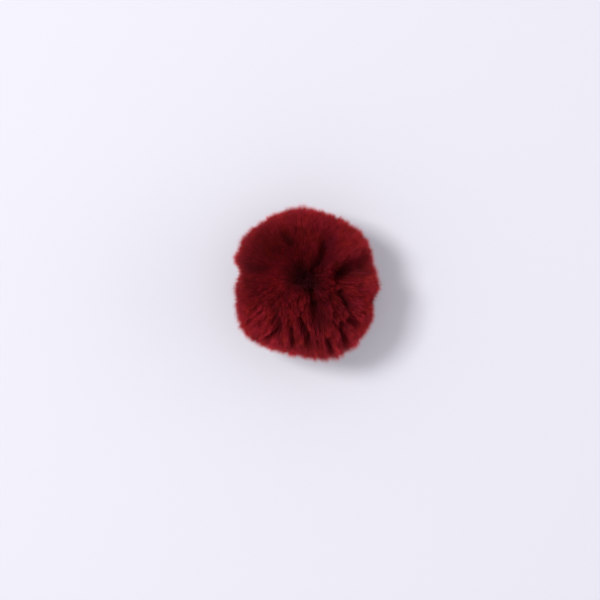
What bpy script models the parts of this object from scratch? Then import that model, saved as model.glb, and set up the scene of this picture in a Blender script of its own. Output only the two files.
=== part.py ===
"""Fur pom pom about 60 mm across, resting on its own fur.

The ball is one gathered piece of dyed, short-haired pelt. Here it is one closed
solid: a small core ball, the gathered skin, with tapered locks of hair of three or
four sides that grow out of its faces. The locks are fused at their roots and stand
apart above them. How far they reach follows the ball's lobes, its notch and its
hollows, and the locks underneath are shorter and end level on the floor.

Metres, +Z up, with the origin on the floor under the middle of the ball.
"""

import math
import random
from typing import NamedTuple

import bmesh
import bpy
from mathutils import Matrix, Vector

MM = 0.001

# Driving sizes of the ball, from tip to tip and from the floor to the highest tip.
BALL_WIDTH = 59.4 * MM
BALL_DEPTH = 62.4 * MM
BALL_HEIGHT = 52.0 * MM

# The plain ball, before its lobes, dents and hollows, as half sizes from its centre.
HALF_WIDTH = 30.05 * MM
HALF_DEPTH = 31.25 * MM
UPPER_HALF = 27.0 * MM
LOWER_HALF = 27.5 * MM
CENTRE_HEIGHT = BALL_HEIGHT - UPPER_HALF
CENTRE = Vector((0.0, 0.0, CENTRE_HEIGHT))
CORE_RADIUS = 15.0 * MM
FULL_HAIR = HALF_WIDTH - CORE_RADIUS

# The core ball's faces are the cells that the locks grow from. Its corners are moved
# a little, and some pairs of triangles are joined into four-sided cells.
CORE_SUBDIVISIONS = 3
LOCK_COUNT = 300
CORNER_SHIFT = 0.05
LAYOUT_SEED = 5

# Height of a unit direction, below which it counts as pointing straight down.
STRAIGHT_DOWN = -0.999

# How much the locks differ in length, as a share of it.
LENGTH_SPREAD = 0.08
LENGTH_SEED = 11

# Power by which the lobes fade from the ball's waist to its top and bottom.
LOBE_FADE = 2.5

# Height, as a share of a unit direction, by which hollows have their full depth.
HOLLOW_RISE = 0.35

# How far the tips lean away from a hollow, and over how wide a band beside it.
LEAN_DISTANCE = 1.6 * MM
LEAN_BAND = 6.0 * MM

COLLECTION_NAME = "pom_pom"
BALL_NAME = "fur_ball"
FUR_COLOUR = (0.085, 0.0035, 0.006, 1.0)
FUR_ROUGHNESS = 0.85


class Section(NamedTuple):
    """One step of a lock: how far along its length, and how much of its cell it fills."""

    along: float
    fullness: float


class Lobe(NamedTuple):
    """A swelling (or, below zero, a dent) in the ball's outline seen from above."""

    azimuth: float
    rise: float
    spread: float


class Hollow(NamedTuple):
    """A parting in the fur on the upper side, along a line seen from above."""

    start: tuple
    end: tuple
    width: float
    depth: float


LOCK_SECTIONS = (
    Section(along=0.32, fullness=0.90),
    Section(along=0.64, fullness=0.82),
    Section(along=0.88, fullness=0.60),
    Section(along=1.00, fullness=0.20),
)

# The lock that points straight down ends in a broad foot, the ball's flat spot.
FOOT_SECTIONS = (
    Section(along=0.32, fullness=0.90),
    Section(along=0.64, fullness=0.84),
    Section(along=0.88, fullness=0.78),
    Section(along=1.00, fullness=0.72),
)

LOBES = (
    Lobe(azimuth=18.0, rise=-1.4 * MM, spread=10.0),
    Lobe(azimuth=72.0, rise=-1.2 * MM, spread=13.0),
    Lobe(azimuth=148.0, rise=1.9 * MM, spread=12.5),
    Lobe(azimuth=161.0, rise=2.2 * MM, spread=3.7),
    Lobe(azimuth=168.5, rise=-2.6 * MM, spread=11.5),
    Lobe(azimuth=218.0, rise=2.0 * MM, spread=10.0),
    Lobe(azimuth=259.0, rise=-1.5 * MM, spread=15.0),
    Lobe(azimuth=298.0, rise=1.7 * MM, spread=15.0),
    Lobe(azimuth=345.5, rise=-2.3 * MM, spread=6.5),
)

HOLLOWS = (
    # The gathered middle, with its upper and lower arms.
    Hollow(start=(-4.2 * MM, 3.0 * MM), end=(1.4 * MM, 0.4 * MM), width=3.2 * MM, depth=8.0 * MM),
    Hollow(start=(2.4 * MM, 6.2 * MM), end=(5.8 * MM, 17.2 * MM), width=2.2 * MM, depth=5.8 * MM),
    Hollow(start=(1.9 * MM, -2.9 * MM), end=(4.0 * MM, -11.0 * MM), width=1.5 * MM, depth=5.4 * MM),
    # The second hollow on the right, and the crease from the notch.
    Hollow(start=(12.2 * MM, 2.7 * MM), end=(20.0 * MM, 6.4 * MM), width=2.6 * MM, depth=6.8 * MM),
    Hollow(start=(-23.5 * MM, 5.8 * MM), end=(-16.0 * MM, 5.2 * MM), width=1.3 * MM, depth=1.5 * MM),
    # The partings between the long locks of the near half.
    Hollow(start=(-11.6 * MM, -8.0 * MM), end=(-10.2 * MM, -17.0 * MM), width=1.1 * MM, depth=4.4 * MM),
    Hollow(start=(-2.6 * MM, -13.4 * MM), end=(0.8 * MM, -21.4 * MM), width=1.1 * MM, depth=4.8 * MM),
    Hollow(start=(12.4 * MM, -14.0 * MM), end=(13.8 * MM, -22.5 * MM), width=1.1 * MM, depth=4.8 * MM),
)


def clear_scene():
    """Remove every object that the scene holds."""
    for item in list(bpy.data.objects):
        bpy.data.objects.remove(item, do_unlink=True)


def turn_between(first, second):
    """Angle in degrees, 0 to 180, between two azimuths."""
    return abs((first - second + 180.0) % 360.0 - 180.0)


def bell(distance, width):
    """Smooth bump of height 1 that fades past the given half-width."""
    return math.exp(-0.5 * (distance / width) ** 2)


def ellipsoid_reach(direction):
    """Distance from the centre to the plain ball's surface along a unit direction."""
    vertical = UPPER_HALF if direction.z > 0 else LOWER_HALF
    scaled = Vector((
        direction.x / HALF_WIDTH,
        direction.y / HALF_DEPTH,
        direction.z / vertical,
    ))
    return 1.0 / scaled.length


def lobe_rise(direction):
    """How far the ball's lobes and dents move its surface along a unit direction."""
    azimuth = math.degrees(math.atan2(direction.y, direction.x))
    level = math.hypot(direction.x, direction.y) ** LOBE_FADE
    rise = sum(
        lobe.rise * bell(turn_between(azimuth, lobe.azimuth), lobe.spread)
        for lobe in LOBES
    )
    return rise * level


def offset_from(hollow, direction):
    """Shortest offset, seen from above and at its depth, from a hollow's line outwards."""
    place = direction * (ellipsoid_reach(direction) - hollow.depth)
    start = Vector(hollow.start)
    line = Vector(hollow.end) - start
    reached = place.xy - start
    share = max(0.0, min(1.0, reached.dot(line) / line.length_squared))
    return reached - share * line


def upper_share(direction):
    """1 on the upper side of the ball, fading to 0 at and below its waist."""
    return max(0.0, min(1.0, direction.z / HOLLOW_RISE))


def hollow_depth(direction):
    """How deep the hollows sink the fur's surface along a unit direction."""
    depths = (
        hollow.depth * bell(offset_from(hollow, direction).length, hollow.width)
        for hollow in HOLLOWS
    )
    return max(depths) * upper_share(direction)


def fur_length(direction):
    """Length of the fur along a unit direction, from the core to its surface."""
    surface = ellipsoid_reach(direction) + lobe_rise(direction) - hollow_depth(direction)
    return surface - CORE_RADIUS


def floor_length(direction):
    """Length that hair along a unit direction may have before it meets the floor."""
    if direction.z >= 0:
        return math.inf
    return CENTRE_HEIGHT / -direction.z - CORE_RADIUS


def tip_lean(direction):
    """How far full-length tips along a unit direction lean away from the hollows."""
    lean = Vector((0.0, 0.0))
    for hollow in HOLLOWS:
        offset = offset_from(hollow, direction)
        strength = LEAN_DISTANCE * hollow.depth / HOLLOWS[0].depth
        lean += strength * bell(offset.length, LEAN_BAND) * offset / LEAN_BAND
    return lean.to_3d() * upper_share(direction)


def fur_point(direction, rise):
    """Place in the fur at a height above the core, out along a unit direction."""
    lean = tip_lean(direction) * (rise / FULL_HAIR) ** 2
    return CENTRE + direction * (CORE_RADIUS + rise) + lean


def make_core():
    """A unit ball of uneven triangles, turned so that one of them faces straight down."""
    core = bmesh.new()
    bmesh.ops.create_icosphere(core, subdivisions=CORE_SUBDIVISIONS, radius=1.0)
    lowest = min(core.faces, key=lambda face: face.calc_center_median().z)
    turn = lowest.calc_center_median().rotation_difference(Vector((0.0, 0.0, -1.0)))
    bmesh.ops.rotate(core, cent=Vector(), matrix=turn.to_matrix(), verts=core.verts)
    layout = random.Random(LAYOUT_SEED)
    for vert in core.verts:
        shift = Vector([layout.uniform(-CORNER_SHIFT, CORNER_SHIFT) for _ in range(3)])
        if vert not in lowest.verts:
            vert.co = (vert.co + shift).normalized()
    join_cells(core, lowest, layout)
    return core


def join_cells(core, foot, layout):
    """Join pairs of triangles, until there are as many cells as the ball has locks."""
    edges = list(core.edges)
    layout.shuffle(edges)
    taken = {foot}
    joined = []
    for edge in edges:
        if len(core.faces) - len(joined) > LOCK_COUNT and taken.isdisjoint(edge.link_faces):
            taken.update(edge.link_faces)
            joined.append(edge)
    bmesh.ops.dissolve_edges(core, edges=joined)


def grow_locks(core):
    """Extrude a tapered lock of hair from each of the core's faces."""
    corner_layer = core.verts.layers.float_vector.new("corner")
    for vert in core.verts:
        vert[corner_layer] = vert.co
        vert.co = fur_point(vert.co, 0.0)
    lengths = random.Random(LENGTH_SEED)
    faces = list(core.faces)
    length_shares = [1.0 + lengths.uniform(-LENGTH_SPREAD, LENGTH_SPREAD) for _ in faces]
    for step in range(len(LOCK_SECTIONS)):
        faces = bmesh.ops.extrude_discrete_faces(core, faces=faces)["faces"]
        for face, length_share in zip(faces, length_shares):
            shape_section(face, corner_layer, step, length_share)


def shape_section(face, corner_layer, step, length_share):
    """Move one step of a lock out to its place in the fur."""
    corners = [Vector(vert[corner_layer]) for vert in face.verts]
    middle = sum(corners, Vector()).normalized()
    is_foot = middle.z < STRAIGHT_DOWN
    section = (FOOT_SECTIONS if is_foot else LOCK_SECTIONS)[step]
    full_length = fur_length(middle) * length_share
    for vert, corner in zip(face.verts, corners):
        direction = middle.lerp(corner, section.fullness).normalized()
        length = min(full_length, floor_length(direction))
        vert.co = fur_point(direction, length * section.along)


def fit_to_size(mesh):
    """Centre the mesh over the origin and bring it to the ball's driving sizes."""
    spans = [
        (min(vert.co[axis] for vert in mesh.vertices), max(vert.co[axis] for vert in mesh.vertices))
        for axis in range(3)
    ]
    (left, right), (front, back), (bottom, top) = spans
    move = Matrix.Translation((-(left + right) / 2, -(front + back) / 2, -bottom))
    size = (BALL_WIDTH / (right - left), BALL_DEPTH / (back - front), BALL_HEIGHT / (top - bottom))
    mesh.transform(Matrix.Diagonal((*size, 1.0)) @ move)


def make_material():
    """Dyed fur, deep wine red and dull."""
    material = bpy.data.materials.new("dyed_fur")
    material.use_nodes = True
    shader = material.node_tree.nodes["Principled BSDF"]
    shader.inputs["Base Color"].default_value = FUR_COLOUR
    shader.inputs["Roughness"].default_value = FUR_ROUGHNESS
    shader.inputs["Metallic"].default_value = 0.0
    return material


def make_fur_ball():
    """Build the fur ball as one closed mesh object."""
    core = make_core()
    grow_locks(core)
    mesh = bpy.data.meshes.new(BALL_NAME)
    core.to_mesh(mesh)
    core.free()
    fit_to_size(mesh)
    mesh.materials.append(make_material())
    ball = bpy.data.objects.new(BALL_NAME, mesh)
    collection = bpy.data.collections.new(COLLECTION_NAME)
    bpy.context.scene.collection.children.link(collection)
    collection.objects.link(ball)


clear_scene()
make_fur_ball()
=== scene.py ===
"""Looks of a dyed fur pom pom, about 60 mm across, seen from straight above.

The ball is made as its maker makes it: a dark pelt core under a dense coat of short
hair. One form says how far the fur reaches in every direction, where it parts, and
which way its tips lean. The coat follows that form hair by hair, gathered into tufts
and locks. Everything is in metres, in the frame of the part's own solid.
"""

import logging
import math
from dataclasses import dataclass, field
from enum import Enum
from typing import Any

import bmesh
import bpy
import numpy as np
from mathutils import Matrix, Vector


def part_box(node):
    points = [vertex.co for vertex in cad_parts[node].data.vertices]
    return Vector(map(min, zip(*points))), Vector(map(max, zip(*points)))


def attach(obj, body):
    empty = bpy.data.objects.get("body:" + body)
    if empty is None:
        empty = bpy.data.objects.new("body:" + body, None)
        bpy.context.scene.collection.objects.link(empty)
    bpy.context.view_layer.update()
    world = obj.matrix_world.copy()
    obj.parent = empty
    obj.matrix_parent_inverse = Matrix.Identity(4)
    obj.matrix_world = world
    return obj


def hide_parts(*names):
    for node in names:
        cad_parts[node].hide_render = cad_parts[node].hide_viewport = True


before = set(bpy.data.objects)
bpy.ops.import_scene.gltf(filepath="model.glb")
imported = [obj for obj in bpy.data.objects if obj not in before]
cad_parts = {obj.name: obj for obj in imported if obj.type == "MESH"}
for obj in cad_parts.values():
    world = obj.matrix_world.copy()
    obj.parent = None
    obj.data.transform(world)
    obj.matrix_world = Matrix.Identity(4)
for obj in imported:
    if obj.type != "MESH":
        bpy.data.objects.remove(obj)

LOG = logging.getLogger("pom_pom")

MM = 0.001
BODY = "root"
BALL_NODE = "fur_ball"
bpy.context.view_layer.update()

# The map that a baked finish is laid out on. A hair's faces stand side by side on it:
# for a face of so many corners, how far across its strip each corner stands, going
# round from the lower left. The foot lies beside them, raised at its last corner.
BAKE_MAP = "OFBake"
FACE_SHARES = {3: (0.0, 1.0, 0.5), 4: (0.0, 1.0, 1.0, 0.0)}
FOOT_RISE = 0.2

# What is stored at each root to plant its hair by, and left out of the finished mesh.
PLANTING = {"run": "FLOAT_VECTOR", "size": "FLOAT_VECTOR", "turn": "FLOAT"}

GOLDEN_TURN = math.pi * (3.0 - math.sqrt(5.0))

# Small enough not to matter, and keeps a division from one by nothing.
TINY = 1e-9

# Highest value of a share times what is left of 1. Divided by it, a hair's bend is how
# far its middle stands off.
HUMP_PEAK = 0.25

# How soon a parting's push grows beside it, next to the parting's width.
PUSH_RISE = 2.0


# ---------------------------------------------------------------------------
# Small helpers
# ---------------------------------------------------------------------------


def hex_colour(code: str) -> tuple[float, float, float, float]:
    """Turn an sRGB hex colour into a linear one.

    Args:
        code: Six hex digits with a leading hash sign.

    Returns:
        Linear red, green and blue, with an alpha of 1.
    """
    shares = [int(code[place:place + 2], 16) / 255.0 for place in (1, 3, 5)]
    linear = [c / 12.92 if c <= 0.04045 else ((c + 0.055) / 1.055) ** 2.4 for c in shares]
    return (*linear, 1.0)


def add_node(
    tree: bpy.types.NodeTree,
    kind: str,
    settings: dict[str, Any] | None = None,
    inputs: dict[int | str, Any] | None = None,
) -> bpy.types.Node:
    """Add a node with its settings, values and links.

    Args:
        tree: The tree that gets the node.
        kind: The node's type.
        settings: Properties of the node, by name.
        inputs: For each input, by name or place, a value or the output that feeds it.

    Returns:
        The new node.
    """
    node = tree.nodes.new(kind)
    for name, value in (settings or {}).items():
        setattr(node, name, value)
    for key, value in (inputs or {}).items():
        if isinstance(value, bpy.types.NodeSocket):
            tree.links.new(value, node.inputs[key])
        else:
            node.inputs[key].default_value = value
    return node


def new_material(
    name: str, values: dict[str, Any]
) -> tuple[bpy.types.Material, bpy.types.Node, bpy.types.NodeTree]:
    """Make a material whose shader has the given values.

    Args:
        name: What the material is.
        values: Values of the shader's inputs, by name.

    Returns:
        The material, its shader node and its node tree.
    """
    material = bpy.data.materials.new(name)
    material.use_nodes = True
    tree = material.node_tree
    shader = tree.nodes["Principled BSDF"]
    for key, value in values.items():
        shader.inputs[key].default_value = value
    return material, shader, tree


def unit(vectors: np.ndarray) -> np.ndarray:
    """Scale each row to a length of 1."""
    return vectors / np.linalg.norm(vectors, axis=1, keepdims=True)


def bell(distance: np.ndarray, width: float, wall: float = 2.0) -> np.ndarray:
    """Smooth bump of height 1 that fades with distance, faster with a steeper wall."""
    return np.exp(-0.5 * (distance / width) ** wall)


def even_directions(count: int) -> np.ndarray:
    """Spread directions evenly over the ball.

    Args:
        count: How many directions.

    Returns:
        One unit direction a row, from the top of the ball to its foot.
    """
    index = np.arange(count) + 0.5
    height = 1.0 - 2.0 * index / count
    ring = np.sqrt(1.0 - height ** 2)
    turn = index * GOLDEN_TURN
    return np.stack((ring * np.cos(turn), ring * np.sin(turn), height), axis=1)


def nearest_row(places: np.ndarray, centres: np.ndarray, batch: int = 6000) -> np.ndarray:
    """Find the nearest centre on the unit ball for each place.

    Args:
        places: Unit directions, one a row.
        centres: Unit directions to choose from, one a row.
        batch: How many places are compared at once.

    Returns:
        The row number of the nearest centre, for each place.
    """
    found = [
        np.argmax(places[first:first + batch] @ centres.T, axis=1)
        for first in range(0, len(places), batch)
    ]
    return np.concatenate(found)


# ---------------------------------------------------------------------------
# The form of the fur
# ---------------------------------------------------------------------------


@dataclass(frozen=True)
class Lobe:
    """A swelling, or below zero a dent, in the outline seen from above.

    azimuth is its angle from the right, and spread its half-width, both in degrees.
    """

    azimuth: float
    rise: float
    spread: float


@dataclass(frozen=True)
class Parting:
    """A line, seen from above, from which the hair leans away to both sides.

    width and depth give the trough in the fur's surface, and wall how steep its sides
    are. push is how far the tips beside it lean, and band is how wide a strip does.
    painted_shade is how much of the clear tip colour is taken from the hair down in it,
    as painted shade in the trough.
    """

    start: tuple[float, float]
    end: tuple[float, float]
    width: float
    depth: float
    push: float
    band: float
    wall: float
    painted_shade: float


LOBES = (
    Lobe(azimuth=18.0, rise=-1.4 * MM, spread=10.0),
    Lobe(azimuth=72.0, rise=-1.2 * MM, spread=13.0),
    Lobe(azimuth=148.0, rise=1.9 * MM, spread=12.5),
    Lobe(azimuth=161.0, rise=2.2 * MM, spread=3.7),
    Lobe(azimuth=168.5, rise=-2.6 * MM, spread=11.5),
    Lobe(azimuth=218.0, rise=2.0 * MM, spread=10.0),
    Lobe(azimuth=259.0, rise=-1.5 * MM, spread=15.0),
    Lobe(azimuth=298.0, rise=1.7 * MM, spread=15.0),
    Lobe(azimuth=345.5, rise=-2.3 * MM, spread=6.5),
)


def parting(
    x0: float, y0: float, x1: float, y1: float, wall: float = 2.0, painted_shade: float = 0.3, **sizes: float
) -> Parting:
    """Make a parting from sizes in millimetres.

    Args:
        x0: Where it starts, to the right of the ball's middle.
        y0: Where it starts, beyond the ball's middle.
        x1: Where it ends, to the right of the ball's middle.
        y1: Where it ends, beyond the ball's middle.
        wall: How steep its sides are.
        painted_shade: How much of the clear tip colour is taken from it, as painted shade.
        sizes: The parting's width, depth, push and band.

    Returns:
        The parting, in metres.
    """
    scaled = {name: value * MM for name, value in sizes.items()}
    return Parting(start=(x0 * MM, y0 * MM), end=(x1 * MM, y1 * MM), wall=wall, painted_shade=painted_shade, **scaled)


# Every parting also takes clear tip colour from the hair in its trough, as painted shade.
PARTINGS = (
    # The gathered middle, its upper arm and its lower arm.
    parting(-3.4, 3.1, 1.2, 0.4, width=3.8, depth=2.2, push=1.3, band=7.0, wall=3.5, painted_shade=0.6),
    parting(2.6, 5.0, 5.6, 9.6, width=1.7, depth=5.2, push=0.8, band=4.0, wall=3.0),
    parting(6.3, 10.6, 6.8, 14.0, width=2.1, depth=5.8, push=1.2, band=4.0, wall=2.5, painted_shade=0.2),
    parting(1.9, -3.2, 3.1, -8.0, width=1.4, depth=4.4, push=1.0, band=3.0, wall=3.0, painted_shade=0.1),
    parting(3.1, -8.0, 4.0, -11.6, width=2.0, depth=6.0, push=1.0, band=3.0, wall=2.5),
    # The second hollow on the right, and the short arm under it.
    parting(11.8, 2.5, 15.9, 4.9, width=2.5, depth=6.4, push=1.6, band=5.5, wall=2.5, painted_shade=0.1),
    parting(15.9, 4.9, 21.0, 6.8, width=2.2, depth=5.6, push=0.8, band=4.0),
    parting(12.6, -2.9, 15.1, -7.8, width=0.9, depth=4.2, push=1.0, band=2.5),
    # The crease that runs in from the notch, and the small one in the left shoulder.
    parting(-27.5, 5.4, -20.0, 6.0, width=1.1, depth=2.4, push=1.0, band=3.0),
    parting(-20.0, 6.0, -16.0, 6.2, width=1.0, depth=1.0, push=0.6, band=3.0),
    parting(-7.8, 17.6, -6.2, 15.4, width=1.1, depth=3.0, push=0.6, band=2.0),
    # The thin partings between the long locks of the near half.
    parting(-12.4, -8.0, -10.0, -14.0, width=0.6, depth=3.4, push=1.0, band=2.2),
    parting(-10.0, -14.0, -10.2, -17.0, width=0.8, depth=4.0, push=1.2, band=2.2),
    parting(-10.2, -17.0, -14.0, -19.6, width=0.6, depth=3.4, push=0.8, band=2.0),
    parting(-2.6, -13.4, -0.2, -18.0, width=0.7, depth=3.2, push=1.0, band=2.2),
    parting(-0.2, -18.0, 0.9, -21.6, width=0.8, depth=3.2, push=1.0, band=2.2),
    parting(-6.4, -17.0, -5.4, -24.0, width=0.6, depth=2.4, push=0.8, band=2.0),
    parting(12.4, -14.5, 13.8, -22.5, width=0.8, depth=4.0, push=1.2, band=2.4),
    parting(15.4, -13.4, 18.0, -14.6, width=0.9, depth=3.6, push=1.0, band=2.0),
    parting(7.7, -20.5, 8.9, -25.0, width=0.7, depth=2.4, push=0.8, band=2.0),
)


@dataclass(frozen=True)
class Patch:
    """A round patch of the coat, seen from above, that lies in its own way.

    upright is how far its tips are drawn in over the ball, and comb how far, and which
    way, they are combed. ruffle is how much more the hair gathers into locks there than
    elsewhere or, below zero, how much less. shade is how much lighter the hair's colour is
    painted on it or, below zero, how much darker: painted light and shade, for spots that
    the light makes lighter or darker on the fur.
    """

    centre: tuple[float, float]
    radius: float
    upright: float
    comb: tuple[float, float]
    ruffle: float
    shade: float


def patch(
    x: float,
    y: float,
    radius: float,
    upright: float = 0.0,
    comb: tuple[float, float] = (0.0, 0.0),
    ruffle: float = 0.0,
    shade: float = 0.0,
) -> Patch:
    """Make a patch from sizes in millimetres, and shares for its ruffle and shade.

    Args:
        x: Its centre, to the right of the ball's middle.
        y: Its centre, beyond the ball's middle.
        radius: How far from its centre it has most of its effect.
        upright: How far its tips are drawn in over the ball.
        comb: How far, and which way, its tips are combed.
        ruffle: How much more the hair gathers into locks.
        shade: How much lighter its hair's colour is painted, as painted light; below zero, darker, as
            painted shade.

    Returns:
        The patch, in metres.
    """
    return Patch(
        centre=(x * MM, y * MM),
        radius=radius * MM,
        upright=upright * MM,
        comb=(comb[0] * MM, comb[1] * MM),
        ruffle=ruffle,
        shade=shade,
    )


PATCHES = (
    # The plush shoulders at the upper left and the upper right. The upper left one is
    # painted darker, most of all on its outer side, as painted shade.
    patch(-14.0, 13.0, 9.0, upright=2.4, ruffle=-0.35, shade=-0.10),
    patch(-19.0, 17.0, 8.0, ruffle=-0.20, shade=-0.28),
    patch(12.0, 19.0, 7.0, upright=1.0, ruffle=-0.25),
    # The slope that runs down into the middle, the middle, the raised locks beside it, and
    # the hair above and behind the second hollow. Painted light lightens the slope, the
    # middle and the raised locks, and painted shade darkens the hair above and behind the
    # hollow.
    patch(-11.0, 4.6, 5.5, comb=(-2.0, 0.2), shade=0.42),
    patch(-1.0, 1.6, 3.5, comb=(1.6, -1.1), shade=0.05),
    patch(7.2, 2.0, 3.0, shade=0.22),
    patch(10.0, 8.5, 3.0, shade=-0.22),
    patch(18.5, 6.2, 3.0, shade=-0.50),
    # The long locks of the near half, combed towards its edge, and those to their sides,
    # with spots whose colour is painted lighter or darker as painted light and shade.
    patch(-2.0, -16.0, 9.0, comb=(0.0, -0.5), ruffle=0.15),
    patch(-17.0, -8.0, 7.5, comb=(2.0, -1.7), ruffle=0.05, shade=0.18),
    patch(16.0, -13.0, 8.0, comb=(-1.6, -1.4), ruffle=0.12),
    patch(2.0, -12.0, 8.0, shade=-0.06),
    patch(12.0, -9.0, 4.5, shade=-0.28),
    # Spots along the near and the left edge, painted darker as painted shade.
    patch(2.0, -27.0, 6.0, shade=-0.25),
    patch(-25.5, -1.5, 5.0, shade=-0.40),
    patch(-24.0, 9.5, 4.0, shade=-0.20),
)


@dataclass(frozen=True)
class Swirl:
    """Long soft waves in the way that the coat lies, over the whole ball.

    waves is how many waves add up, turns how many radians each makes over the ball's
    radius, reach how far they lean the tips, and upper how much of that is left on the
    upper side, where the partings lead the hair.
    """

    waves: int = 7
    turns: float = 5.5
    reach: float = 2.6 * MM
    upper: float = 0.25
    seed: int = 14

    def lean(self, directions: np.ndarray) -> np.ndarray:
        """How far, and which way, the waves lean the tips: by the reach in the mean.

        Args:
            directions: Unit directions from the ball's centre, one a row.

        Returns:
            The lean for each direction.
        """
        draw = np.random.default_rng(self.seed)
        lean = np.zeros_like(directions)
        for _ in range(self.waves):
            way, across = unit(draw.normal(size=(2, 3)))
            phase = draw.uniform(0.0, 2.0 * math.pi)
            lean += np.outer(np.sin(directions @ across * self.turns + phase), way)
        return lean * self.reach * math.sqrt(2.0 / self.waves)


@dataclass(frozen=True)
class FurForm:
    """How far the fur reaches in each direction, and which way its tips lean.

    The halves are the plain ball's half sizes. lobe_fade is the power by which lobes fade
    towards the top, and hollow_rise the height by which partings have their full depth.
    floor_gap is how far the tips end above the floor, and coat how deep the coat is.
    even_ruffle is how much the hair gathers where no patch changes it, and upper_stray
    how freely locks wander on the upper side, next to lower down. painted_rim_light is how
    much lighter the hair's colour is painted around the waist, as painted rim light, and
    waist_band how high a band that is. splay is how far tips under the ball spread
    outwards, from splay_height down, and droop how far tips hang below the upper side.
    """

    half_width: float = 30.05 * MM
    half_depth: float = 31.25 * MM
    upper_half: float = 27.0 * MM
    lower_half: float = 27.5 * MM
    centre_height: float = 25.0 * MM
    lobe_fade: float = 2.5
    hollow_rise: float = 0.35
    floor_gap: float = 0.25 * MM
    coat: float = 6.5 * MM
    painted_rim_light: float = 0.26
    waist_band: float = 0.3
    even_ruffle: float = 0.45
    upper_stray: float = 0.8
    swirl: Swirl = Swirl()
    splay: float = 4.0 * MM
    splay_height: float = 0.35
    droop: float = 1.5 * MM

    @property
    def centre(self) -> np.ndarray:
        """The middle of the ball."""
        return np.array((0.0, 0.0, self.centre_height))

    def ellipsoid(self, directions: np.ndarray) -> np.ndarray:
        """Distance from the centre to the plain ball's surface.

        Args:
            directions: Unit directions from the ball's centre, one a row.

        Returns:
            The distance for each direction.
        """
        upper = np.array((self.half_width, self.half_depth, self.upper_half))
        lower = np.array((self.half_width, self.half_depth, self.lower_half))
        halves = np.where(directions[:, 2:] > 0, upper, lower)
        return 1.0 / np.linalg.norm(directions / halves, axis=1)

    def lobes(self, directions: np.ndarray) -> np.ndarray:
        """How far the lobes and dents move the surface.

        Args:
            directions: Unit directions from the ball's centre, one a row.

        Returns:
            The rise for each direction, which fades out towards the top and the foot.
        """
        azimuth = np.degrees(np.arctan2(directions[:, 1], directions[:, 0]))
        rise = np.zeros(len(directions))
        for lobe in LOBES:
            turn = np.abs((azimuth - lobe.azimuth + 180.0) % 360.0 - 180.0)
            rise += lobe.rise * bell(turn, lobe.spread)
        return rise * np.hypot(directions[:, 0], directions[:, 1]) ** self.lobe_fade

    def upper_share(self, directions: np.ndarray) -> np.ndarray:
        """1 on the upper side of the ball, fading to 0 at and below its waist."""
        return np.clip(directions[:, 2] / self.hollow_rise, 0.0, 1.0)

    def offsets(self, directions: np.ndarray, line: Parting) -> np.ndarray:
        """Shortest offsets from a parting outwards, seen from above and at its depth.

        Args:
            directions: Unit directions from the ball's centre, one a row.
            line: The parting.

        Returns:
            The offset to the right and away for each direction.
        """
        places = directions * (self.ellipsoid(directions) - line.depth)[:, None]
        start = np.array(line.start)
        run = np.array(line.end) - start
        reached = places[:, :2] - start
        share = np.clip(reached @ run / (run @ run), 0.0, 1.0)
        return reached - share[:, None] * run

    def hollows(self, directions: np.ndarray) -> np.ndarray:
        """How deep the fur's surface is sunk by its partings."""
        return self.deepest(directions, "depth")

    def deepest(self, directions: np.ndarray, effect: str) -> np.ndarray:
        """Most that any parting has of one of its effects, in each direction.

        Args:
            directions: Unit directions from the ball's centre, one a row.
            effect: The parting's field, "depth" or "painted_shade".

        Returns:
            The effect for each direction, which fades out below the upper side.
        """
        most = np.zeros(len(directions))
        for line in PARTINGS:
            away = np.linalg.norm(self.offsets(directions, line), axis=1)
            most = np.maximum(most, getattr(line, effect) * bell(away, line.width, line.wall))
        return most * self.upper_share(directions)

    def surface(self, directions: np.ndarray) -> np.ndarray:
        """Distance from the centre to the fur's surface, before it meets the floor."""
        return self.ellipsoid(directions) + self.lobes(directions) - self.hollows(directions)

    def above_floor(self, directions: np.ndarray, reach: np.ndarray, gap: float) -> np.ndarray:
        """Shorten each reach so that it ends a gap above the floor.

        Args:
            directions: Unit directions from the ball's centre, one a row.
            reach: Distance from the centre, for each direction.
            gap: How far above the floor it may end at the lowest.

        Returns:
            The reach for each direction, shortened where it has to be.
        """
        down = np.maximum(-directions[:, 2], TINY)
        limit = np.where(directions[:, 2] < 0, (self.centre_height - gap) / down, np.inf)
        return np.minimum(reach, limit)

    def patch_share(self, places: np.ndarray, spot: Patch) -> np.ndarray:
        """1 in the middle of a patch, fading to 0 around it."""
        return bell(np.linalg.norm(places[:, :2] - spot.centre, axis=1), spot.radius)

    def lean(self, directions: np.ndarray) -> np.ndarray:
        """How far, and which way, the tips lean along the ball's surface.

        Args:
            directions: Unit directions from the ball's centre, one a row.

        Returns:
            The lean for each direction, at a right angle to it.
        """
        places = directions * self.ellipsoid(directions)[:, None]
        lean = np.zeros_like(directions)
        for line in PARTINGS:
            offset = self.offsets(directions, line)
            away = np.linalg.norm(offset, axis=1) + TINY
            begun = 1.0 - np.exp(-PUSH_RISE * away / line.width)
            strength = line.push * np.exp(-away / line.band) * begun
            lean[:, :2] += offset / away[:, None] * strength[:, None]
        inwards = -places[:, :2] / (np.linalg.norm(places[:, :2], axis=1, keepdims=True) + TINY)
        for spot in PATCHES:
            share = self.patch_share(places, spot)[:, None]
            lean[:, :2] += (inwards * spot.upright + spot.comb) * share
        upper = self.upper_share(directions)[:, None]
        lean *= upper
        lean += self.swirl.lean(directions) * (1.0 - upper * (1.0 - self.swirl.upper))
        low = np.clip(-directions[:, 2] - self.splay_height, 0.0, 1.0)
        lean[:, :2] -= inwards * (self.splay * low)[:, None]
        lean[:, 2] -= self.droop * (1.0 - upper[:, 0])
        return lean - directions * np.sum(lean * directions, axis=1, keepdims=True)

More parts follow.
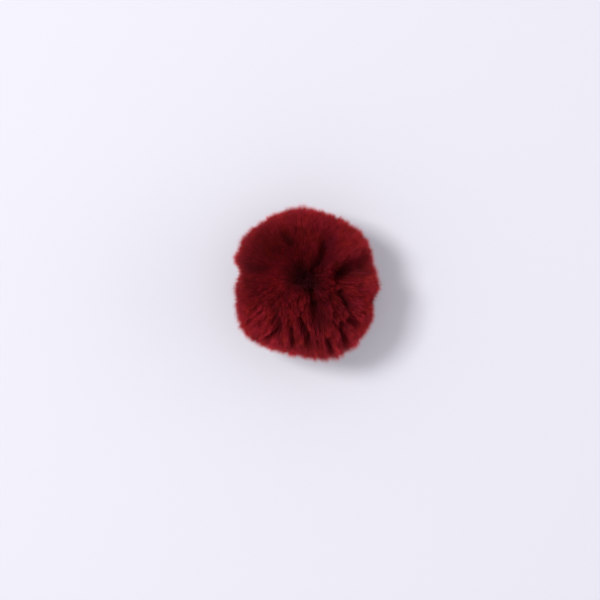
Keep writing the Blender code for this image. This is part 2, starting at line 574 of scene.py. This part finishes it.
    def ruffle(self, directions: np.ndarray) -> np.ndarray:
        """How much the hair gathers into locks, from 0 where it is quite even to 1.

        Args:
            directions: Unit directions from the ball's centre, one a row.

        Returns:
            The ruffle for each direction.
        """
        places = directions * self.ellipsoid(directions)[:, None]
        more = sum(spot.ruffle * self.patch_share(places, spot) for spot in PATCHES)
        return np.clip(self.even_ruffle + more * self.upper_share(directions), 0.0, 1.0)

    def stray(self, directions: np.ndarray) -> np.ndarray:
        """How freely locks wander: less on the upper side, where the partings lead them."""
        return 1.0 - (1.0 - self.upper_stray) * self.upper_share(directions)

    def shade(self, directions: np.ndarray) -> np.ndarray:
        """How light the hair's colour is painted next to 1: painted rim light at the waist, and the
        patches' painted light and shade.

        Args:
            directions: Unit directions from the ball's centre, one a row.

        Returns:
            The shade for each direction.
        """
        places = directions * self.ellipsoid(directions)[:, None]
        # The patches' painted light and shade, and painted rim light in a band around the waist.
        more = sum(spot.shade * self.patch_share(places, spot) for spot in PATCHES)
        waist = self.painted_rim_light * bell(directions[:, 2], self.waist_band)
        return 1.0 + more * self.upper_share(directions) + waist

    def clear(self, directions: np.ndarray) -> np.ndarray:
        """How much of the clear tip colour hair has: little of it in a parting, as painted shade."""
        return 1.0 - self.deepest(directions, "painted_shade")


# ---------------------------------------------------------------------------
# Finishes
# ---------------------------------------------------------------------------


@dataclass(frozen=True)
class HairFinish:
    """Dyed rabbit hair, matt and soft to the eye.

    Its colour runs from a dark root to a clear wine red at the fine tip. The dark root is
    painted shade deep in the coat, so that partings look deep, and the tip is lightened
    partly as painted light, so that the ball has a bright rim.
    """

    name: str = "dyed_rabbit_hair"
    root: str = "#70393e"
    dark: str = "#75232b"
    dark_share: float = 0.35
    middle: str = "#8a151f"
    middle_share: float = 0.8
    tip: str = "#dc3843"
    roughness: float = 0.6
    specular: float = 0.2
    sheen: float = 0.05
    sheen_tint: str = "#d04048"

    def build(self) -> bpy.types.Material:
        """Build the material. Its colour follows each hair, and differs hair by hair."""
        material, shader, tree = new_material(
            self.name,
            {
                "Roughness": self.roughness,
                "Specular IOR Level": self.specular,
                "Sheen Weight": self.sheen,
                "Sheen Tint": hex_colour(self.sheen_tint),
            },
        )
        along, tint, clear, hue = (
            add_node(tree, "ShaderNodeAttribute", {"attribute_name": name}).outputs["Fac"]
            for name in ("along", "tint", "clear", "hue")
        )
        # Painted shade: the ramp's dark root stands in for shade deep in the coat, and the clear tip
        # colour is cut in partings.
        reached = add_node(
            tree, "ShaderNodeMath", {"operation": "MULTIPLY"}, {0: along, 1: clear}
        )
        ramp = add_node(tree, "ShaderNodeValToRGB", inputs={"Fac": reached.outputs[0]})
        stops = ramp.color_ramp.elements
        stops[0].color = hex_colour(self.root)
        stops[1].color = hex_colour(self.tip)
        stops.new(self.dark_share).color = hex_colour(self.dark)
        stops.new(self.middle_share).color = hex_colour(self.middle)
        shade = add_node(
            tree,
            "ShaderNodeHueSaturation",
            inputs={"Color": ramp.outputs["Color"], "Hue": hue, "Value": tint},
        )
        tree.links.new(shade.outputs["Color"], shader.inputs["Base Color"])
        return material


@dataclass(frozen=True)
class UnderfurFinish:
    """Packed underfur and dyed skin: a dull, nearly black red that shows deep in partings."""

    name: str = "packed_underfur"
    deep: str = "#4a2527"
    raised: str = "#663034"
    grain: float = 0.9 * MM
    detail: float = 3.0
    roughness: float = 0.9

    def build(self) -> bpy.types.Material:
        """Build the material, mottled at the size of a small tuft."""
        material, shader, tree = new_material(self.name, {"Roughness": self.roughness})
        place = add_node(tree, "ShaderNodeTexCoord")
        mottle = add_node(
            tree,
            "ShaderNodeTexNoise",
            inputs={
                "Vector": place.outputs["Object"],
                "Scale": 1.0 / self.grain,
                "Detail": self.detail,
            },
        )
        ramp = add_node(tree, "ShaderNodeValToRGB", inputs={"Fac": mottle.outputs["Fac"]})
        ramp.color_ramp.elements[0].color = hex_colour(self.deep)
        ramp.color_ramp.elements[1].color = hex_colour(self.raised)
        tree.links.new(ramp.outputs["Color"], shader.inputs["Base Color"])
        return material


@dataclass(frozen=True)
class PaperFinish:
    """Matt studio paper: nearly white with a cool cast, and no shine, only a soft shadow."""

    name: str = "studio_paper"
    colour: str = "#f0eff6"
    roughness: float = 0.9
    specular: float = 0.1

    def build(self) -> bpy.types.Material:
        """Build the material."""
        values = {
            "Base Color": hex_colour(self.colour),
            "Roughness": self.roughness,
            "Specular IOR Level": self.specular,
        }
        return new_material(self.name, values)[0]


# ---------------------------------------------------------------------------
# Sub-assemblies
# ---------------------------------------------------------------------------


@dataclass
class Underfur:
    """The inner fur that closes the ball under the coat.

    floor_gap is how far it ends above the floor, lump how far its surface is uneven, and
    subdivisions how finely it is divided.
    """

    form: FurForm
    finish: UnderfurFinish = field(default_factory=UnderfurFinish)
    floor_gap: float = 3.0 * MM
    lump: float = 0.5 * MM
    subdivisions: int = 6
    seed: int = 3

    def reach(self, directions: np.ndarray) -> np.ndarray:
        """Distance from the centre to the underfur's surface."""
        reach = self.form.surface(directions) - self.form.coat
        return self.form.above_floor(directions, reach, self.floor_gap)

    def build(self) -> bpy.types.Object:
        """Build the underfur as one closed, lumpy mesh.

        Returns:
            The object, linked to the scene.
        """
        ball = bmesh.new()
        bmesh.ops.create_icosphere(ball, subdivisions=self.subdivisions, radius=1.0)
        mesh = bpy.data.meshes.new("underfur")
        ball.to_mesh(mesh)
        ball.free()
        places = np.empty(len(mesh.vertices) * 3)
        mesh.vertices.foreach_get("co", places)
        directions = unit(places.reshape(-1, 3))
        lumps = np.random.default_rng(self.seed).uniform(-self.lump, self.lump, len(directions))
        reach = self.reach(directions) + lumps
        points = self.form.centre + directions * reach[:, None]
        mesh.vertices.foreach_set("co", points.ravel())
        mesh.shade_smooth()
        mesh.materials.append(self.finish.build())
        underfur = bpy.data.objects.new("underfur", mesh)
        bpy.context.scene.collection.objects.link(underfur)
        return underfur


@dataclass
class Tufts:
    """Gathering points for the tips: each hair is drawn towards the nearest one.

    pull is how much of the way, from the least to the most, and stray how far a gathering
    point itself wanders. The spreads say how they differ in length, shade and hue. uneven
    is how far they stand off an even spacing, next to that spacing, and even_share how
    much they still differ where the coat is even.
    """

    form: FurForm
    count: int
    seed: int
    pull: tuple[float, float]
    stray: float
    length_spread: float
    shade_spread: float
    hue_spread: float = 0.0
    uneven: float = 0.35
    even_share: float = 0.5

    def __post_init__(self) -> None:
        """Place the gathering points and draw how each one differs."""
        draw = np.random.default_rng(self.seed)
        spacing = math.sqrt(4.0 * math.pi / self.count)
        shift = draw.normal(scale=spacing * self.uneven, size=(self.count, 3))
        self.centres = unit(even_directions(self.count) + shift)
        reach = self.form.ellipsoid(self.centres)[:, None]
        ruffle = self.form.ruffle(self.centres)
        stray = draw.normal(scale=self.stray, size=(self.count, 3))
        stray *= (self.form.stray(self.centres) * (self.even_share + ruffle))[:, None]
        self.tips = unit(self.centres * reach + self.form.lean(self.centres) + stray)
        self.pulls = draw.uniform(*self.pull, self.count) * ruffle
        share = self.even_share + (1.0 - self.even_share) * ruffle
        self.lengths = draw.normal(scale=self.length_spread, size=self.count) * share
        self.shades = draw.normal(scale=self.shade_spread, size=self.count) * share
        self.hues = draw.normal(scale=self.hue_spread, size=self.count)


@dataclass(frozen=True)
class Hair:
    """One kind of hair. Real hair is far finer: this is as coarse as it must be.

    thick is the radius at the root, and bend is how far the middle stands off, in such
    radii. extra and spread say how long the hair is next to the form's surface, stray
    how far its tip wanders, where the coat is even and where it is ruffled, and gather
    how much it follows its tuft. tint is how light its dye looks.
    """

    count: int
    segments: int
    thick: float
    bend: float
    extra: float
    spread: float
    stray: tuple[float, float]
    gather: float
    tint: float


class HairKind(Enum):
    """The two kinds of hair in the coat."""

    PLUSH = Hair(
        count=48000, segments=1, thick=0.115 * MM, bend=0.0,
        extra=0.4 * MM, spread=0.026, stray=(0.75 * MM, 0.45 * MM), gather=1.0, tint=1.0,
    )
    GUARD = Hair(
        count=19000, segments=2, thick=0.09 * MM, bend=5.0,
        extra=0.9 * MM, spread=0.030, stray=(1.0 * MM, 0.9 * MM), gather=0.7, tint=1.3,
    )


@dataclass
class Coat:
    """The coat of hair, made as several pieces that all cover the whole ball.

    plush_pieces is how many of them are plush, and sides how many sides a hair has.
    root_shift is how unevenly the roots stand, next to the ball's radius, and root_sink
    how far inside the underfur. A hair is at most length_limit spreads longer or shorter.
    thick_range, shade_spread and shade_range say how hairs differ in thickness and shade,
    and even_hue is the hue that changes nothing. floor_spread is how unevenly tips end
    above the floor, and cell_margin how wide the edge of a cell of the bake map is.
    """

    form: FurForm
    underfur: Underfur
    finish: HairFinish = field(default_factory=HairFinish)
    plush_pieces: int = 4
    sides: int = 3
    root_shift: float = 0.004
    root_sink: float = 0.8 * MM
    length_limit: float = 2.0
    thick_range: tuple[float, float] = (0.8, 1.2)
    shade_spread: float = 0.08
    shade_range: tuple[float, float] = (0.6, 1.7)
    even_hue: float = 0.5
    floor_spread: float = 0.25 * MM
    cell_margin: float = 0.08
    seed: int = 20

    def __post_init__(self) -> None:
        """Work out the gathering points, the material and the node tree."""
        locks = Tufts(
            self.form, count=400, seed=7, pull=(0.30, 0.65), stray=0.9 * MM,
            length_spread=0.30 * MM, shade_spread=0.09, hue_spread=0.0010,
        )
        tufts = Tufts(
            self.form, count=1600, seed=8, pull=(0.20, 0.70), stray=0.9 * MM,
            length_spread=0.36 * MM, shade_spread=0.09, hue_spread=0.0014,
        )
        wisps = Tufts(
            self.form, count=6000, seed=9, pull=(0.20, 0.80), stray=0.35 * MM,
            length_spread=0.30 * MM, shade_spread=0.08, hue_spread=0.0020,
        )
        self.gatherings = (locks, tufts, wisps)
        self.material = self.finish.build()
        self.tree = self.make_tree()

    def hairs(self, hair: Hair, roots: np.ndarray, seed: int) -> dict[str, np.ndarray]:
        """Work out where each hair of a piece runs.

        Args:
            hair: The kind of hair.
            roots: Directions of the roots from the ball's centre, one a row.
            seed: What the random draws start from.

        Returns:
            The hairs' roots and their other values by attribute name, one row a hair.
        """
        draw = np.random.default_rng(seed)
        count = len(roots)
        roots = unit(roots + draw.normal(scale=self.root_shift, size=(count, 3)))
        reach = self.form.ellipsoid(roots)[:, None]
        least, most = hair.stray
        stray = least + (most - least) * self.form.ruffle(roots)[:, None]
        stray = stray * draw.normal(size=(count, 3))
        tips = unit(roots * reach + self.form.lean(roots) + stray)
        extra = np.full(count, hair.extra)
        shade = hair.tint * (1.0 + draw.normal(scale=self.shade_spread, size=count))
        hue = np.full(count, self.even_hue)
        for gathering in self.gatherings:
            nearest = nearest_row(roots, gathering.centres)
            pull = gathering.pulls[nearest][:, None] * hair.gather
            tips = unit(tips + (gathering.tips[nearest] - tips) * pull)
            extra += gathering.lengths[nearest]
            shade *= 1.0 + gathering.shades[nearest]
            hue += gathering.hues[nearest]
        uneven = np.clip(draw.normal(size=count), -self.length_limit, self.length_limit)
        length_share = 1.0 + hair.spread * uneven
        tip_reach = self.form.surface(tips) * length_share + extra
        gap = self.form.floor_gap + np.abs(draw.normal(scale=self.floor_spread, size=count))
        tip_reach = self.form.above_floor(tips, tip_reach, gap)
        root_reach = self.underfur.reach(roots) - self.root_sink
        root_points = self.form.centre + roots * root_reach[:, None]
        run = self.form.centre + tips * tip_reach[:, None] - root_points
        thick = hair.thick * draw.uniform(*self.thick_range, count)
        return {
            "root": root_points,
            "run": run,
            "size": np.stack((thick, thick, np.linalg.norm(run, axis=1)), axis=1),
            "turn": draw.uniform(0.0, 2.0 * math.pi, count),
            # tint: each hair's own random tone, times the patches' painted light and shade and the painted
            # rim light.
            "tint": np.clip(shade, *self.shade_range) * self.form.shade(tips),
            "hue": hue,
            "clear": self.form.clear(tips),
        }

    def make_tree(self) -> bpy.types.NodeTree:
        """Build the node tree that plants a tapered hair on every root.

        Returns:
            The tree, with the hair's sides, segments, bend and finish as its inputs.
        """
        tree = bpy.data.node_groups.new("coat_of_hair", "GeometryNodeTree")
        for name, kind in (
            ("Geometry", "NodeSocketGeometry"),
            ("Sides", "NodeSocketInt"),
            ("Segments", "NodeSocketInt"),
            ("Bend", "NodeSocketFloat"),
            ("Finish", "NodeSocketMaterial"),
        ):
            tree.interface.new_socket(name, in_out="INPUT", socket_type=kind)
        tree.interface.new_socket("Geometry", in_out="OUTPUT", socket_type="NodeSocketGeometry")
        given = add_node(tree, "NodeGroupInput").outputs
        hair = self.add_hair(tree, given)
        run, size, turn = (
            add_node(
                tree, "GeometryNodeInputNamedAttribute", {"data_type": kind}, {"Name": name}
            ).outputs["Attribute"]
            for name, kind in PLANTING.items()
        )
        outwards = add_node(
            tree, "FunctionNodeAlignRotationToVector", {"axis": "Z"}, {"Vector": run}
        )
        about = add_node(
            tree,
            "FunctionNodeAxisAngleToRotation",
            inputs={"Axis": (0.0, 0.0, 1.0), "Angle": turn},
        )
        turned = add_node(
            tree,
            "FunctionNodeRotateRotation",
            {"rotation_space": "LOCAL"},
            {"Rotation": outwards.outputs[0], "Rotate By": about.outputs[0]},
        )
        planted = add_node(
            tree,
            "GeometryNodeInstanceOnPoints",
            inputs={
                "Points": given["Geometry"],
                "Instance": hair,
                "Rotation": turned.outputs[0],
                "Scale": size,
            },
        )
        coat = add_node(tree, "GeometryNodeRealizeInstances", inputs={0: planted.outputs[0]})
        for name in PLANTING:
            coat = add_node(
                tree, "GeometryNodeRemoveAttribute", inputs={"Geometry": coat.outputs[0], "Name": name}
            )
        finished = add_node(
            tree,
            "GeometryNodeSetMaterial",
            inputs={"Geometry": coat.outputs[0], "Material": given["Finish"]},
        )
        add_node(tree, "NodeGroupOutput", inputs={0: finished.outputs[0]})
        return tree

    def add_hair(
        self, tree: bpy.types.NodeTree, given: bpy.types.NodeOutputs
    ) -> bpy.types.NodeSocket:
        """Add the nodes of one hair of unit size, bent along its way up Z.

        Args:
            tree: The tree that gets the nodes.
            given: The tree's inputs.

        Returns:
            The output that gives the hair, which knows its height as "along".
        """
        cone = add_node(
            tree,
            "GeometryNodeMeshCone",
            {"fill_type": "NGON"},
            {
                "Vertices": given["Sides"],
                "Side Segments": given["Segments"],
                "Radius Top": 0.0,
                "Radius Bottom": 1.0,
                "Depth": 1.0,
            },
        )
        place = add_node(tree, "GeometryNodeInputPosition")
        height = add_node(tree, "ShaderNodeSeparateXYZ", inputs={0: place.outputs[0]}).outputs["Z"]
        left = add_node(tree, "ShaderNodeMath", {"operation": "SUBTRACT"}, {0: 1.0, 1: height})
        hump = add_node(tree, "ShaderNodeMath", {"operation": "MULTIPLY"}, {0: height, 1: left.outputs[0]})
        off = add_node(
            tree, "ShaderNodeMath", {"operation": "MULTIPLY"}, {0: hump.outputs[0], 1: given["Bend"]}
        )
        shift = add_node(tree, "ShaderNodeCombineXYZ", inputs={"X": off.outputs[0]})
        marked = add_node(
            tree,
            "GeometryNodeStoreNamedAttribute",
            {"data_type": "FLOAT", "domain": "POINT"},
            {"Geometry": cone.outputs["Mesh"], "Name": "along", "Value": height},
        )
        flat = add_node(
            tree,
            "GeometryNodeSetShadeSmooth",
            inputs={"Geometry": marked.outputs[0], "Shade Smooth": False},
        )
        bent = add_node(
            tree,
            "GeometryNodeSetPosition",
            inputs={"Geometry": flat.outputs[0], "Offset": shift.outputs[0]},
        )
        return bent.outputs[0]

    def build_piece(self, name: str, hair: Hair, roots: np.ndarray, seed: int) -> bpy.types.Object:
        """Build one piece of the coat.

        Args:
            name: The piece's name.
            hair: The kind of hair.
            roots: Directions of the roots from the ball's centre, one a row.
            seed: What the random draws start from.

        Returns:
            The finished object, with its hairs in its mesh.
        """
        hairs = self.hairs(hair, roots, seed)
        points = bpy.data.meshes.new(f"{name}_roots")
        points.vertices.add(len(roots))
        points.vertices.foreach_set("co", hairs.pop("root").astype(np.float32).ravel())
        for label, rows in hairs.items():
            kind, key = ("FLOAT_VECTOR", "vector") if rows.ndim == 2 else ("FLOAT", "value")
            layer = points.attributes.new(label, kind, "POINT")
            layer.data.foreach_set(key, rows.astype(np.float32).ravel())
        planted = bpy.data.objects.new(f"{name}_roots", points)
        bpy.context.scene.collection.objects.link(planted)
        modifier = planted.modifiers.new("coat", "NODES")
        modifier.node_group = self.tree
        values = {
            "Sides": self.sides,
            "Segments": hair.segments,
            "Bend": hair.bend / HUMP_PEAK,
            "Finish": self.material,
        }
        for item in self.tree.interface.items_tree:
            if item.in_out == "INPUT" and item.name in values:
                modifier[item.identifier] = values[item.name]
        graph = bpy.context.evaluated_depsgraph_get()
        mesh = bpy.data.meshes.new_from_object(planted.evaluated_get(graph))
        bpy.data.objects.remove(planted)
        mesh.name = name
        self.lay_bake_map(mesh, len(roots))
        piece = bpy.data.objects.new(name, mesh)
        bpy.context.scene.collection.objects.link(piece)
        return piece

    def lay_bake_map(self, mesh: bpy.types.Mesh, count: int) -> None:
        """Give each hair its own small cell of the bake map, root down and tip up.

        Args:
            mesh: The piece's mesh, hair after hair.
            count: How many hairs it has.
        """
        cell = self.hair_cell(mesh, len(mesh.polygons) // count)
        columns = math.ceil(math.sqrt(count))
        number = np.arange(count)
        corner = np.stack((number % columns, number // columns), axis=1)
        places = (corner[:, None, :] + cell[None, :, :]) / columns
        layer = mesh.uv_layers.new(name=BAKE_MAP)
        layer.uv.foreach_set("vector", places.astype(np.float32).ravel())

    def hair_cell(self, mesh: bpy.types.Mesh, faces: int) -> np.ndarray:
        """Lay out the faces of the first hair in a square cell, side by side.

        Args:
            mesh: The piece's mesh, hair after hair.
            faces: How many faces each hair has.

        Returns:
            The place of each of the hair's face corners in the cell, one a row.
        """
        low, span = self.cell_margin, 1.0 - 2.0 * self.cell_margin
        strip = span / (self.sides + 1)
        along = mesh.attributes["along"].data
        places = []
        sides_laid = 0
        for face in mesh.polygons[:faces]:
            heights = [along[vertex].value for vertex in face.vertices]
            size = len(heights)
            is_foot = max(heights) == 0.0
            column = self.sides if is_foot else sides_laid % self.sides
            first = 0 if is_foot else next(i for i in range(size) if heights[i] < heights[i - 1])
            sides_laid += not is_foot
            for corner, height in enumerate(heights):
                share = FACE_SHARES[size][(corner - first) % size]
                rise = FOOT_RISE if is_foot and share == FACE_SHARES[size][-1] else height
                places.append((low + strip * (column + share), low + span * rise))
        return np.array(places)

    def build(self) -> list[bpy.types.Object]:
        """Build every piece of the coat.

        Returns:
            The plush pieces and then the guard hair, linked to the scene.
        """
        plush, guard = HairKind.PLUSH.value, HairKind.GUARD.value
        roots = even_directions(plush.count * self.plush_pieces)
        pieces = [
            self.build_piece(
                f"plush_{number + 1}", plush, roots[number::self.plush_pieces], self.seed + number
            )
            for number in range(self.plush_pieces)
        ]
        roots = even_directions(guard.count)
        pieces.append(self.build_piece("guard_hair", guard, roots, self.seed + self.plush_pieces))
        return pieces


@dataclass(frozen=True)
class Lamp:
    """A square area light that faces the ball. Sizes are in metres and power in watts."""

    name: str
    place: tuple[float, float, float]
    size: float
    power: float


LAMPS = (
    Lamp(name="key", place=(-0.73, 0.27, 1.40), size=0.4, power=12.4),
    Lamp(name="fill", place=(1.35, 0.10, 0.45), size=1.2, power=3.4),
)


@dataclass
class Studio:
    """Pale paper, soft light from the upper left, and a camera straight above."""

    centre: Vector
    paper: PaperFinish = field(default_factory=PaperFinish)
    frame_width: float = 246.6 * MM
    aim: tuple[float, float] = (-2.8 * MM, -6.6 * MM)
    camera_height: float = 1.0
    sensor: float = 36.0
    paper_size: float = 6.0
    sky: str = "#f4f4fb"
    sky_strength: float = 0.60

    def build(self) -> None:
        """Build the paper, the lights and the camera."""
        self.build_paper()
        self.build_lights()
        self.build_camera()

    def build_paper(self) -> None:
        """Lay the paper that the ball rests on."""
        bpy.ops.mesh.primitive_plane_add(size=self.paper_size)
        paper = bpy.context.object
        paper.name = "paper"
        paper.data.materials.append(self.paper.build())

    def build_lights(self) -> None:
        """Hang a soft key light at the upper left, a low fill at the right and an even sky."""
        for lamp in LAMPS:
            light = bpy.data.lights.new(lamp.name, "AREA")
            light.size = lamp.size
            light.energy = lamp.power
            hung = bpy.data.objects.new(lamp.name, light)
            hung.location = lamp.place
            hung.rotation_euler = (self.centre - hung.location).to_track_quat("-Z", "Y").to_euler()
            bpy.context.scene.collection.objects.link(hung)
        world = bpy.data.worlds.new("studio")
        world.use_nodes = True
        background = world.node_tree.nodes["Background"]
        background.inputs["Color"].default_value = hex_colour(self.sky)
        background.inputs["Strength"].default_value = self.sky_strength
        bpy.context.scene.world = world

    def build_camera(self) -> None:
        """Hang the camera so that it looks straight down."""
        lens = bpy.data.cameras.new("camera")
        lens.sensor_width = self.sensor
        distance = self.camera_height - self.centre.z
        lens.lens = self.sensor * distance / self.frame_width
        camera = bpy.data.objects.new("camera", lens)
        camera.location = (*self.aim, self.camera_height)
        bpy.context.scene.collection.objects.link(camera)
        bpy.context.scene.camera = camera
        bpy.context.scene.view_settings.view_transform = "Standard"


def claim(piece: bpy.types.Object) -> None:
    """Fix a piece to the ball's body, in place of the plain solid.

    Args:
        piece: The finished piece.
    """
    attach(piece, BODY)
    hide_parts(BALL_NODE)
    LOG.info("%s: %d faces", piece.name, len(piece.data.polygons))


def main() -> None:
    """Build the ball and its studio."""
    logging.basicConfig(level=logging.INFO, format="%(name)s: %(message)s")
    low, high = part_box(BALL_NODE)
    form = FurForm()
    underfur = Underfur(form)
    claim(underfur.build())
    for piece in Coat(form, underfur).build():
        claim(piece)
    Studio(centre=(low + high) / 2).build()


if __name__ == "__main__":
    main()
